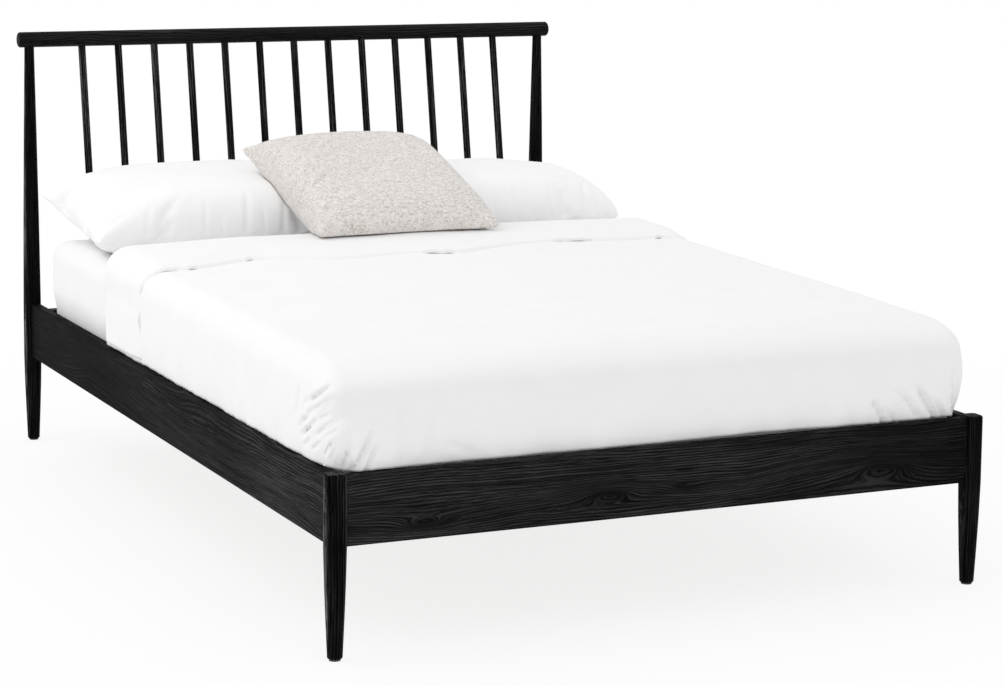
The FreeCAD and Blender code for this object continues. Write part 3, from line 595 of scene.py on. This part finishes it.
# folds at the foot corners: from distance past the corner and height, to distance and height, width, depth
left_corner_folds = [
    (-0.092, 0.467, -0.008, 0.506, 0.0060, 0.0149), (-0.118, 0.436, -0.040, 0.468, 0.0045, 0.0074),
    (-0.144, 0.419, -0.061, 0.449, 0.0045, 0.0074), (-0.102, 0.420, -0.010, 0.455, 0.0045, 0.0081),
    (-0.149, 0.390, -0.086, 0.419, 0.0050, 0.0068), (-0.071, 0.405, 0.006, 0.439, 0.0050, 0.0095),
    (-0.050, 0.402, 0.014, 0.428, 0.0045, 0.0061), (-0.091, 0.373, -0.050, 0.396, 0.0040, 0.0068),
    (-0.130, 0.455, -0.070, 0.478, 0.0050, 0.0041), (-0.125, 0.402, -0.075, 0.425, 0.0040, 0.0054),
    (-0.075, 0.438, -0.020, 0.464, 0.0040, 0.0054), (-0.040, 0.370, -0.010, 0.402, 0.0040, 0.0068),
    (-0.024, 0.358, -0.002, 0.394, 0.0040, 0.0040), (-0.176, 0.425, -0.155, 0.490, 0.0060, 0.0041),
    (-0.002, 0.350, 0.014, 0.384, 0.0040, 0.0030), (0.018, 0.350, 0.040, 0.394, 0.0045, 0.0055),
    (0.040, 0.347, 0.085, 0.424, 0.0055, 0.0110), (0.066, 0.347, 0.090, 0.398, 0.0050, 0.0075),
    (0.140, 0.350, 0.151, 0.470, 0.0100, 0.0045), (0.190, 0.352, 0.226, 0.465, 0.0120, 0.0045),
    (0.235, 0.385, 0.290, 0.360, 0.0080, 0.0022), (-0.060, 0.420, 0.040, 0.452, 0.0120, 0.0040),
    (-0.110, 0.445, 0.010, 0.485, 0.0100, 0.0035), (-0.135, 0.372, -0.100, 0.392, 0.0040, 0.0050),
    (-0.162, 0.402, -0.120, 0.432, 0.0050, 0.0045),
]
right_corner_folds = [
    (0.205, 0.345, 0.236, 0.402, 0.0055, 0.0095), (0.178, 0.347, 0.204, 0.380, 0.0045, 0.0050),
    (0.084, 0.345, 0.126, 0.420, 0.0060, 0.0105), (0.125, 0.352, 0.162, 0.408, 0.0060, 0.0060),
    (0.060, 0.347, 0.087, 0.392, 0.0050, 0.0065), (0.152, 0.388, 0.178, 0.416, 0.0050, 0.0035),
    (0.280, 0.347, 0.298, 0.415, 0.0080, 0.0030), (0.340, 0.347, 0.356, 0.408, 0.0080, 0.0025),
    (0.232, 0.405, 0.240, 0.496, 0.0080, 0.0020), (0.030, 0.350, 0.046, 0.392, 0.0045, 0.0045),
    (-0.030, 0.360, 0.000, 0.440, 0.0070, 0.0040), (-0.080, 0.350, -0.070, 0.420, 0.0070, 0.0040),
]


def duvet_lattice(cells_across, cells_along, steps):
    """Flat top of the duvet with walls let down at both sides and the foot, before it is rolled."""
    bpy.ops.mesh.primitive_grid_add(x_subdivisions=cells_across, y_subdivisions=cells_along, size=2)
    obj = bpy.context.object
    co = place_of(obj)
    across = np.sign(co[:, 0]) * crowded(np.abs(co[:, 0]), 0.6)
    along = crowded((1 - co[:, 1]) / 2, 0.6)
    flat = np.stack([across * duvet_half_width, duvet_head + (duvet_foot - duvet_head) * along,
                     np.full(len(co), duvet_low)], axis=1)
    set_place(obj, flat)
    bpy.ops.object.mode_set(mode="EDIT")
    bpy.ops.mesh.select_all(action="DESELECT")
    bpy.ops.object.mode_set(mode="OBJECT")
    for edge in obj.data.edges:
        a, b = (flat[v] for v in edge.vertices)
        at_side = abs(abs(a[0]) - duvet_half_width) < 1e-5 and abs(a[0] - b[0]) < 1e-6
        at_foot = abs(a[1] - duvet_foot) < 1e-5 and abs(b[1] - duvet_foot) < 1e-5
        edge.select = bool(at_side or at_foot)
    bpy.ops.object.mode_set(mode="EDIT")
    bpy.ops.mesh.select_mode(type="EDGE")
    step = (duvet_low - duvet_hem) / steps
    for _ in range(steps):
        bpy.ops.mesh.extrude_region_move(TRANSFORM_OT_translate={"value": (0, 0, -step)})
    bpy.ops.object.mode_set(mode="OBJECT")
    in_edit_mode(bpy.ops.mesh.normals_make_consistent, inside=False)
    return obj


def fill_out(p):
    """Let rolled points slope up to the head, crown the top and belly the walls; also gives both shares."""
    up = np.clip((p[:, 2] - duvet_hem) / (duvet_low - duvet_hem), 0, 1)
    arch = 1 - np.clip(np.abs(p[:, 0]) / (duvet_half_width - 0.05), 0, 1) ** 2
    p[:, 2] += up * (duvet_slope * (p[:, 1] - duvet_foot) + duvet_crown * arch)
    belly = np.sin(np.clip(up / 0.9, 0, 1) * math.pi)
    p[:, 0] += np.sign(p[:, 0]) * duvet_belly * belly * (np.abs(p[:, 0]) > wall_start)
    return up, belly


def duvet_surface(co):
    """Outside of the duvet: rolled over the mattress, sloping up to the head, with gathers and soft waves."""
    half = np.array([duvet_half_width, 0, 0])
    upper = eased((co[:, 2] - 0.45) / 0.05)
    leftward = eased((0.2 - co[:, 0]) / 0.4)
    # low down, the foot turns in a wide sweep on the left and in a tight one on the right
    sweep = 0.045
    roll = np.tile(np.array(duvet_roll), (len(co), 1))
    roll[:, 1] += (1 - upper) * (sweep * leftward - sweep * (1 - leftward))
    low = -half + np.stack([roll[:, 0], duvet_foot + roll[:, 1], np.full(len(co), -beyond)], axis=1)
    high = half + np.stack([-roll[:, 0], np.full(len(co), beyond), duvet_low - roll[:, 2]], axis=1)
    p = rolled(co, low, high, roll, np.where(co[:, 0] < 0, 2.7 + 1.3 * upper, 3.0))
    away = away_from(p, low, high)
    up, belly = fill_out(p)
    run = p[:, 1] - duvet_foot

    # the right foot corner is fuller, and the foot's hem flares out over the rail, more so at the left
    full_end = eased((0.35 - run) / 0.3) * (p[:, 0] > wall_start)
    p[:, 0] += full_end * (0.007 * belly - 0.008 * (1 - eased(up / 0.35)))
    p[:, 1] -= 0.010 * eased((0.12 - run) / 0.08) * (1 - eased((up - 0.1) / 0.6)) * (np.abs(p[:, 0]) < 0.66)
    flare = eased((0.10 - run) / 0.08) * eased((-0.45 - p[:, 0]) / 0.2) * (1 - eased((up - 0.05) / 0.6))
    p[:, 1] -= 0.006 * flare

    # gathers round both corners, then soft waves all over
    past_left = p[:, 0] + duvet_half_width - run
    past_right = duvet_half_width - p[:, 0] - run
    depth = fold_depth(past_left, p[:, 2], left_corner_folds) * ((p[:, 0] < -0.3) & (run < 0.4))
    depth += fold_depth(past_right, p[:, 2], right_corner_folds) * ((p[:, 0] > 0.2) & (run < 0.4))
    depth *= 1 - eased((p[:, 2] - 0.50) / 0.03)
    at_foot = eased((0.05 - run) / 0.05) * eased((0.50 - p[:, 2]) / 0.04)
    at_hem = eased((0.42 - p[:, 2]) / 0.07)
    inward = depth + 0.0022 + ripple(p, (4.5, 4.5, 4.5), 3) * 0.0022
    inward += ripple(p, (16, 16, 9), 4) * 0.0010 * (1 - up) + ripple(p, (9, 9, 2.5), 6) * 0.0018 * at_foot
    inward += ripple(p, (26, 26, 6), 5) * 0.0026 * at_hem
    return p - away * inward[:, None]


def duvet_inner(co):
    """Inside of the duvet, a little off the mattress."""
    half, foot, top = duvet_inside
    bend = 0.47
    p = co * np.array([half / duvet_half_width, 1, 1])
    p[:, 1] += (foot - duvet_foot) * (1 - np.clip((p[:, 1] - duvet_foot) / 0.2, 0, 1))
    p[:, 2] = np.where(p[:, 2] > bend, bend + (p[:, 2] - bend) * (top - bend) / (duvet_low - bend), p[:, 2])
    low = np.array([duvet_inner_roll - half, foot + duvet_inner_roll, -beyond])
    high = np.array([half - duvet_inner_roll, beyond, top - duvet_inner_roll])
    return rolled(p, low, high, (duvet_inner_roll,) * 3, 2.6)


def hem_lift(co):
    """How far the hem stands off the rails: small waves, and a lift over the right half of the foot rail."""
    waves = np.array([noise.noise(Vector((p[0] * 11, p[1] * 11, 3.3))) for p in co])
    at_foot = co[:, 1] < duvet_foot + 0.06
    return 0.0012 * (1 + waves) + 0.0030 * np.exp(-((co[:, 0] - 0.24) / 0.11) ** 2) * at_foot


def make_shell(obj, outer, inner):
    """Give a sheet of points its inner side, and close the rim between them."""
    apply_modifier(obj, "SOLIDIFY", thickness=0.002, offset=-1)
    if len(obj.data.vertices) != 2 * len(outer):
        raise ValueError("the shell has stray points")
    set_place(obj, np.concatenate([outer, inner]))
    only(obj)
    in_edit_mode(bpy.ops.mesh.normals_make_consistent, inside=False)


def make_duvet(cotton):
    """Duvet: a closed quilted shell over the mattress, its hem resting on the rails."""
    obj = duvet_lattice(150, 150, 42)
    co = place_of(obj)
    outer = duvet_surface(co)
    inner = duvet_inner(co)
    lift = hem_lift(outer) * (1 - eased((co[:, 2] - duvet_hem) / 0.05))
    outer[:, 2] += lift
    inner[:, 2] += lift
    make_shell(obj, outer, inner)
    finish_soft(obj, "duvet_body", "duvet", "duvet_cover", cotton, 0.4, "duvet")


# ---- turned-back band -----------------------------------------------------------------------------------

# distance across the bed and how far along it the band's lower edge lies
band_edge = [(-0.90, 0.120), (-0.80, 0.130), (-0.72, 0.126), (-0.69, 0.095), (-0.64, 0.075), (-0.56, 0.095),
             (-0.44, 0.150), (-0.36, 0.130), (-0.27, 0.075), (-0.19, 0.070), (-0.10, 0.090), (-0.02, 0.085),
             (0.02, 0.050), (0.10, 0.085), (0.21, 0.130), (0.30, 0.150), (0.40, 0.140), (0.50, 0.140),
             (0.60, 0.150), (0.70, 0.150), (0.90, 0.150)]
# where that edge gapes: distance across, half width and height of the opening
band_gapes = [(-0.80, 0.025, 0.0085), (-0.74, 0.012, 0.007), (-0.655, 0.026, 0.0085), (-0.592, 0.012, 0.0075),
              (-0.44, 0.012, 0.0065), (-0.022, 0.022, 0.0095), (0.015, 0.012, 0.007), (0.33, 0.016, 0.0065),
              (0.38, 0.034, 0.0090), (0.60, 0.010, 0.007)]
# the band's head end turns down over the last part of its width
band_turn = 0.83
band_turn_share = 0.17
duvet_thickness = 0.045
duvet_wall_thickness = 0.0105


def on_duvet(across, along, proud):
    """Points on the duvet, by distance over its girth and along the bed, standing proud of it."""
    down = np.maximum(np.abs(across) - duvet_half_width, 0)
    flat = np.stack([np.clip(across, -duvet_half_width, duvet_half_width), along, duvet_low - down], axis=1)
    low = np.array([band_roll - duvet_half_width, -beyond, -beyond])
    high = np.array([duvet_half_width - band_roll, beyond, duvet_low - band_roll])
    p = rolled(flat, low, high, (band_roll,) * 3)
    away = away_from(p, low, high)
    up, _ = fill_out(p)
    return p + away * proud[:, None], up


def make_band(cotton):
    """Head end of the duvet turned back in a band, wrapped over the shoulders and down both sides."""
    bpy.ops.mesh.primitive_grid_add(x_subdivisions=330, y_subdivisions=44, size=2)
    obj = bpy.context.object
    unit = place_of(obj)
    girth = 2 * (duvet_half_width + (duvet_low - duvet_hem)) - 0.02
    across = unit[:, 0] * girth / 2
    t = (unit[:, 1] + 1) / 2
    level = np.zeros(len(across))
    stations, reaches = zip(*band_edge)
    offsets = np.linspace(-0.045, 0.045, 9)
    edge = sum(np.interp(across + offset, stations, reaches) for offset in offsets) / len(offsets)
    up = on_duvet(across, edge, level)[1]
    rise = band_wall_rise + (band_rise - band_wall_rise) * eased((up - 0.55) / 0.4)
    wide = band_head - edge

    # a rounded lip at the lower edge, and a turn down at the head end
    lip = np.clip(t / (0.010 / wide), 0, 1)
    round_lip = np.sqrt(1 - (1 - lip) ** 2) * (0.45 + 0.55 * eased(t / 0.4))
    turned = np.clip((t - band_turn) / band_turn_share, 0, 1) * math.pi / 2
    along = edge + wide * np.where(t > band_turn, band_turn + band_turn_share * np.sin(turned), t)
    thick = duvet_wall_thickness + (duvet_thickness + rise - duvet_wall_thickness) * up
    fall = 1 - np.cos(turned)
    proud = (rise + 0.005) * round_lip - 0.005 - fall * thick * 0.93
    swell = ripple(np.stack([across, along, level], axis=1), (7, 9, 1), 8) * 0.0016 + 0.0016
    proud -= swell * round_lip * (1 - fall) * np.where(up > 0.5, 1.0, 0.5)
    outer, _ = on_duvet(across, along, proud)

    gaping = np.zeros(len(across))
    for at, half_wide, height in band_gapes:
        gaping += height * np.exp(-((across - at) / half_wide) ** 2) * np.exp(-(t / 0.12) ** 2)
    inner, _ = on_duvet(across, np.minimum(along, band_head - 0.014), gaping - 0.006 - fall * thick * 0.90)
    outer[:, 2] += gaping * 0.45
    make_shell(obj, outer, inner)
    finish_soft(obj, "duvet_turned_back", "duvet", "duvet_cover", cotton, 0.5)


# ---- pillows and cushion --------------------------------------------------------------------------------

# creases near the open end and the corners, in each piece's own plane, as in the corner folds above
pillow_folds = [
    (-0.075, -0.236, -0.055, -0.170, 0.0055, 0.0035), (-0.020, -0.236, -0.022, -0.185, 0.0045, 0.0030),
    (0.030, -0.236, 0.050, -0.150, 0.0060, 0.0045), (0.085, -0.236, 0.080, -0.180, 0.0045, 0.0030),
    (0.120, -0.236, 0.142, -0.160, 0.0055, 0.0045), (0.175, -0.236, 0.165, -0.190, 0.0045, 0.0030),
    (0.215, -0.236, 0.242, -0.150, 0.0060, 0.0055), (0.275, -0.232, 0.262, -0.165, 0.0055, 0.0045),
    (-0.160, -0.236, -0.150, -0.195, 0.0050, 0.0030), (-0.220, -0.230, -0.190, -0.170, 0.0055, 0.0035),
    (-0.335, -0.200, -0.240, -0.110, 0.0060, 0.0045), (-0.330, -0.215, -0.230, -0.175, 0.0050, 0.0035),
    (-0.338, -0.170, -0.270, -0.050, 0.0060, 0.0040), (-0.330, 0.200, -0.250, 0.110, 0.0060, 0.0040),
    (0.335, -0.200, 0.250, -0.110, 0.0060, 0.0040), (0.330, 0.200, 0.240, 0.130, 0.0060, 0.0040),
    (0.338, -0.120, 0.270, -0.070, 0.0055, 0.0035), (0.100, 0.236, 0.080, 0.170, 0.0060, 0.0030),
]
cushion_folds = [
    (-0.200, -0.030, -0.155, 0.010, 0.0060, 0.0070), (-0.196, -0.095, -0.145, -0.060, 0.0055, 0.0070),
    (-0.205, -0.221, 0.205, -0.221, 0.0035, 0.0028), (-0.226, 0.110, -0.190, 0.125, 0.0050, 0.0040),
    (-0.222, -0.075, -0.180, -0.060, 0.0050, 0.0040), (-0.222, 0.215, -0.160, 0.150, 0.0060, 0.0045),
    (-0.215, -0.215, -0.160, -0.150, 0.0060, 0.0040), (0.222, -0.215, 0.165, -0.160, 0.0060, 0.0040),
    (0.060, -0.226, 0.052, -0.190, 0.0050, 0.0030),
]
# corners that are drawn in or pushed out: side, end and by how much
cushion_tucks = ((1, 1, 0.022), (-1, -1, 0.012), (-1, 1, -0.010))
left_pillow_tucks = ((-1, -1, 0.02),)
right_pillow_tucks = ((1, -1, 0.035), (1, 1, 0.06))


def stuff(obj, pressure, frames, stretch):
    """Blow a flat case up as by its stuffing, with a cloth simulation that is applied to the mesh."""
    only(obj)
    cloth = obj.modifiers.new("stuffing", "CLOTH")
    cloth.settings.quality = 5
    cloth.settings.mass = 0.3
    cloth.settings.tension_stiffness = 20
    cloth.settings.compression_stiffness = stretch
    cloth.settings.shear_stiffness = 8
    cloth.settings.bending_stiffness = 0.05
    cloth.settings.air_damping = 3
    cloth.settings.use_pressure = True
    cloth.settings.uniform_pressure_force = pressure
    cloth.settings.effector_weights.gravity = 0
    cloth.collision_settings.use_collision = False
    cloth.point_cache.frame_start = 1
    cloth.point_cache.frame_end = frames
    for step in range(1, frames + 1):
        scene.frame_set(step)
    bpy.ops.object.modifier_apply(modifier=cloth.name)
    scene.frame_set(1)


def stuffed_case(size, crowns, cells, seam, pressure, frames, stretch, tucks, folds):
    """Two sewn layers of cloth, stuffed, brought to size and creased."""
    rows = round(cells * size[1] / size[0])
    half = np.array(size) / 2
    bpy.ops.mesh.primitive_grid_add(x_subdivisions=cells, y_subdivisions=rows, size=2)
    obj = bpy.context.object
    set_place(obj, place_of(obj) * np.array([*half, 1]))
    apply_modifier(obj, "SOLIDIFY", thickness=seam, offset=0)
    stuff(obj, pressure, frames, stretch)

    co = place_of(obj)
    co -= (co.max(0) + co.min(0)) / 2 * np.array([1, 1, 0])
    reach = co.max(0) - co.min(0)
    co[:, :2] *= np.array(size) / reach[:2]
    risen = np.where(co[:, 2] > 0, co[:, 2].max(), -co[:, 2].min())
    crown = np.where(co[:, 2] > 0, crowns[0], crowns[1])
    co[:, 2] = np.sign(co[:, 2]) * crown * np.abs(co[:, 2]) / risen
    for side, end, amount in tucks:
        near = np.clip(side * co[:, 0] / size[0] * 2, 0, 1) * np.clip(end * co[:, 1] / size[1] * 2, 0, 1)
        corner = near ** 3
        co[:, 0] -= side * amount * corner
        co[:, 1] -= end * amount * 0.6 * corner
    set_place(obj, co)

    apply_modifier(obj, "SUBSURF", levels=1, render_levels=1)
    co = place_of(obj)
    pressed = fold_depth(co[:, 0], co[:, 1], folds) * (co[:, 2] > 0.002)
    set_place(obj, co - outward(obj) * pressed[:, None])
    return obj


def lay(obj, place):
    """Tilt a soft piece up towards the head, turn it and set it in place."""
    across, along, height, tilt, turn = place
    laid = (Matrix.Translation((across, along, height)) @ Matrix.Rotation(math.radians(turn), 4, "Z")
            @ Matrix.Rotation(math.radians(tilt), 4, "X"))
    obj.data.transform(laid)
    return laid


def pressed_under(obj, cushion, laid):
    """Where a pillow's points go when the cushion leans on it."""
    back = np.array(laid.inverted())
    forth = np.array(laid)
    local = place_of(cushion) @ back[:3, :3].T + back[:3, 3]
    tree = BVHTree.FromPolygons([Vector(p) for p in local], [tuple(p.vertices) for p in cushion.data.polygons])
    co = place_of(obj) @ back[:3, :3].T + back[:3, 3]
    reach = cushion_size[0] / 2 + 0.005
    for index, point in enumerate(co):
        if abs(point[0]) > reach or abs(point[1]) > reach:
            continue
        hit = tree.ray_cast(Vector((point[0], point[1], -0.4)), Vector((0, 0, 1)))[0]
        if hit is not None and point[2] > hit.z - cushion_air:
            co[index, 2] = hit.z - cushion_air
    return co @ forth[:3, :3].T + forth[:3, 3]


def settle_pillow(obj, side, cushion, laid):
    """Rest a pillow on the mattress, behind the band, beside the other pillow and under the cushion."""
    passes = 3
    over_band = band_top + 0.001
    behind_band = band_head + band_air
    for turn in range(passes):
        co = pressed_under(obj, cushion, laid)
        co[:, 2] = np.maximum(co[:, 2], mattress_top + 0.0004)
        inside = (co[:, 1] < behind_band) & (co[:, 2] < over_band)
        back = behind_band - co[:, 1]
        rise = over_band - co[:, 2]
        co[:, 1] = np.where(inside & (back <= rise), behind_band, co[:, 1])
        co[:, 2] = np.where(inside & (back > rise), over_band, co[:, 2])
        co[:, 0] = np.where(side * co[:, 0] < pillow_air, side * pillow_air, co[:, 0])
        set_place(obj, co)
        if turn < passes - 1:
            only(obj)
            in_edit_mode(bpy.ops.mesh.vertices_smooth, factor=0.5, repeat=2)


def make_pillows_and_cushion(cotton, boucle):
    """Two pillows side by side at the head, and a square cushion that leans on both."""
    cushion = stuffed_case(cushion_size, cushion_crowns, cells=80, seam=0.004, pressure=8, frames=14,
                           stretch=15, tucks=cushion_tucks, folds=cushion_folds)
    laid = lay(cushion, cushion_place)
    co = place_of(cushion)
    co[:, 2] = np.maximum(co[:, 2], band_top + pillow_air)
    set_place(cushion, co)
    for side, name, place, tucks in ((-1, "left_pillow", left_pillow_place, left_pillow_tucks),
                                     (1, "right_pillow", right_pillow_place, right_pillow_tucks)):
        pillow = stuffed_case(pillow_size, pillow_crowns, cells=90, seam=0.003, pressure=3, frames=30,
                              stretch=10, tucks=tucks, folds=pillow_folds)
        lay(pillow, place)
        settle_pillow(pillow, side, cushion, laid)
        finish_soft(pillow, name + "_case", name, "pillow_case", cotton, 0.8, name)
    finish_soft(cushion, "woven_cushion", "cushion", "cushion_cover", boucle, 0.75, "cushion")


# ---- floor and light ------------------------------------------------------------------------------------

def seen_directly(tree):
    """1 where the eye, a gloss or a glass looks, and 0 for the light that falls on the object."""
    path = put(tree, "LightPath").outputs
    return reckon(tree, "MAXIMUM", path["Is Camera Ray"],
                  reckon(tree, "MAXIMUM", path["Is Glossy Ray"], path["Is Transmission Ray"]))


def make_floor():
    """Pale floor that runs out to white."""
    bpy.ops.mesh.primitive_plane_add(size=90, location=(0, 0, 0))
    floor = bpy.context.object
    floor.name = "floor"
    material = bpy.data.materials.new("pale_floor")
    material.use_nodes = True
    tree = material.node_tree
    tree.nodes.clear()
    paint = put(tree, "BsdfDiffuse", {"Color": (0.95, 0.95, 0.95, 1)}).outputs[0]
    white = put(tree, "Emission", {"Color": (1, 1, 1, 1), "Strength": 1.0}).outputs[0]
    place = put(tree, "TexCoord").outputs["Object"]
    away = put(tree, "VectorMath", {0: place}, operation="LENGTH").outputs["Value"]
    fade = mapped(tree, away, 0.9, 2.6, 0.82, 1.0)
    mix = put(tree, "MixShader", {0: reckon(tree, "MULTIPLY", fade, seen_directly(tree)), 1: paint, 2: white})
    put(tree, "OutputMaterial", {"Surface": mix.outputs[0]})
    floor.data.materials.append(material)


def make_surround():
    """White surround, a little less bright as a light than it looks."""
    world = bpy.data.worlds.new("studio")
    world.use_nodes = True
    tree = world.node_tree
    tree.nodes.clear()
    around = put(tree, "Background", {"Color": (1, 1, 1, 1), "Strength": 0.91}).outputs[0]
    white = put(tree, "Background", {"Color": (1, 1, 1, 1), "Strength": 1.0}).outputs[0]
    mix = put(tree, "MixShader", {0: seen_directly(tree), 1: around, 2: white})
    put(tree, "OutputWorld", {"Surface": mix.outputs[0]})
    scene.world = world


def make_lamp():
    """One broad soft lamp, high at the left of the head."""
    bpy.ops.object.light_add(type="AREA", location=(-3.4, 0.9, 4.3))
    lamp = bpy.context.object
    lamp.name = "soft_lamp"
    lamp.data.shape = "DISK"
    lamp.data.size = 3.6
    lamp.data.energy = 52
    aim = Vector((0, 0, 0.4)) - lamp.location
    lamp.rotation_mode = "QUATERNION"
    lamp.rotation_quaternion = aim.to_track_quat("-Z", "Y")


# ---- the whole ------------------------------------------------------------------------------------------

set_camera()
make_floor()
make_surround()
make_lamp()
finish_frame()
# each cotton's second colour is its painted shade in the hollows of the creases
duvet_cotton = cotton_material("duvet_cotton", (0.915, 0.915, 0.915, 1), (0.90, 0.90, 0.903, 1))
make_mattress(cotton_material("fitted_sheet_cotton", (0.90, 0.90, 0.90, 1), (0.88, 0.88, 0.885, 1)))
make_duvet(duvet_cotton)
make_band(duvet_cotton)
make_pillows_and_cushion(cotton_material("pillow_cotton", (0.94, 0.94, 0.942, 1), (0.925, 0.925, 0.93, 1)),
                         boucle_material())

scene.view_settings.view_transform = "Standard"
